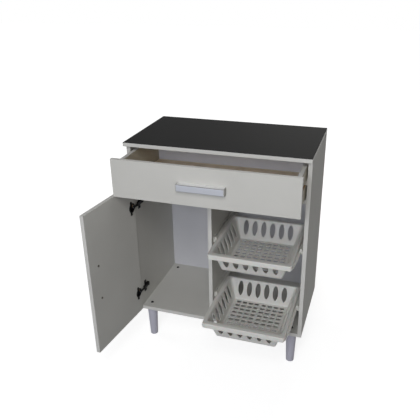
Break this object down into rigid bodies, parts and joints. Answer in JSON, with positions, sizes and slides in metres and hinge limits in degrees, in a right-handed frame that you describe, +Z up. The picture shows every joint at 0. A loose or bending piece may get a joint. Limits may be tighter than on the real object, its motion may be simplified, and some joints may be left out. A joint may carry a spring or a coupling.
{
  "type": "kitchen base cabinet",
  "caption": "Kitchen base cabinet on conical legs, with a dark worktop, a wide drawer, a side-hung door and pull-out baskets in an open bay.",
  "frame": {"origin": "on the floor, in the middle of the foot of the front left leg", "axes": "+X to the right seen from the front, +Y from front to back, +Z up"},
  "size_m": [0.7459, 0.6886, 0.89],
  "materials": {
    "white_board": "white melamine face",
    "dark_laminate": "fine grained matt laminate",
    "white_sheet": "painted hardboard",
    "brown_sheet": "faced hardboard",
    "zinc_steel": "zinc plated",
    "beech": "raw beech",
    "leg_plastic": "satin",
    "dark_steel": "black zinc",
    "rail_plastic": "white, satin",
    "black_metal": "black, satin",
    "satin_aluminium": "satin anodised",
    "grey_plastic": "satin",
    "basket_plastic": "white, satin"
  },
  "bodies": {
    "carcass": {"top_board": "white_board", "top_laminate": "dark_laminate", "side_left": "white_board", "side_right": "white_board", "bottom_panel": "white_board", "partition": "white_board", "front_rail": "white_board", "back_rail": "white_board", "back_panel": "white_sheet", "cam_locks": "zinc_steel", "cam_bolts": "zinc_steel", "dowels": "beech", "panel_screws": "zinc_steel", "back_nails": "zinc_steel", "leg_front_left": "leg_plastic", "leg_front_right": "leg_plastic", "leg_back_left": "leg_plastic", "leg_back_right": "leg_plastic", "leg_bolts": "dark_steel", "runner_strip_left": "rail_plastic", "runner_strip_right": "rail_plastic", "runner_screws": "zinc_steel", "basket_rail_upper_left": "rail_plastic", "basket_rail_upper_right": "rail_plastic", "basket_rail_lower_left": "rail_plastic", "basket_rail_lower_right": "rail_plastic", "rail_screws": "zinc_steel", "hinge_plate_upper": "black_metal", "hinge_plate_lower": "black_metal", "hinge_arm_upper": "black_metal", "hinge_arm_lower": "black_metal", "hinge_screws": "dark_steel"},
    "drawer": {"drawer_front": "white_board", "drawer_side_left": "white_board", "drawer_side_right": "white_board", "drawer_back": "white_board", "drawer_bottom": "brown_sheet", "drawer_cam_locks": "zinc_steel", "drawer_cam_bolts": "zinc_steel", "drawer_dowels": "beech", "drawer_screws": "zinc_steel", "drawer_handle": "satin_aluminium", "drawer_handle_caps": "grey_plastic", "drawer_handle_screws": "zinc_steel"},
    "door": {"door_panel": "white_board", "hinge_cup_upper": "black_metal", "hinge_cup_lower": "black_metal", "hinge_pins": "zinc_steel", "cup_screws": "dark_steel", "door_handle": "satin_aluminium", "door_handle_caps": "grey_plastic", "door_handle_screws": "zinc_steel"},
    "upper_basket": {"upper_basket": "basket_plastic"},
    "lower_basket": {"lower_basket": "basket_plastic"}
  },
  "joints": [
    {"name": "drawer_slide", "type": "slide", "parent": "carcass", "child": "drawer", "axis": [0, -1, 0], "range_m": [-0.121, 0.105]},
    {"name": "door_swing", "type": "hinge", "parent": "carcass", "child": "door", "pos_m": [-0.0325, -0.0415, 0.4335], "axis": [0, 0, -1], "range_deg": [-96.3, 2.5]},
    {"name": "upper_basket_slide", "type": "slide", "parent": "carcass", "child": "upper_basket", "axis": [0, -1, 0], "range_m": [-0.118, 0.105]},
    {"name": "lower_basket_slide", "type": "slide", "parent": "carcass", "child": "lower_basket", "axis": [0, -1, 0], "range_m": [-0.193, 0.03]}
  ]
}
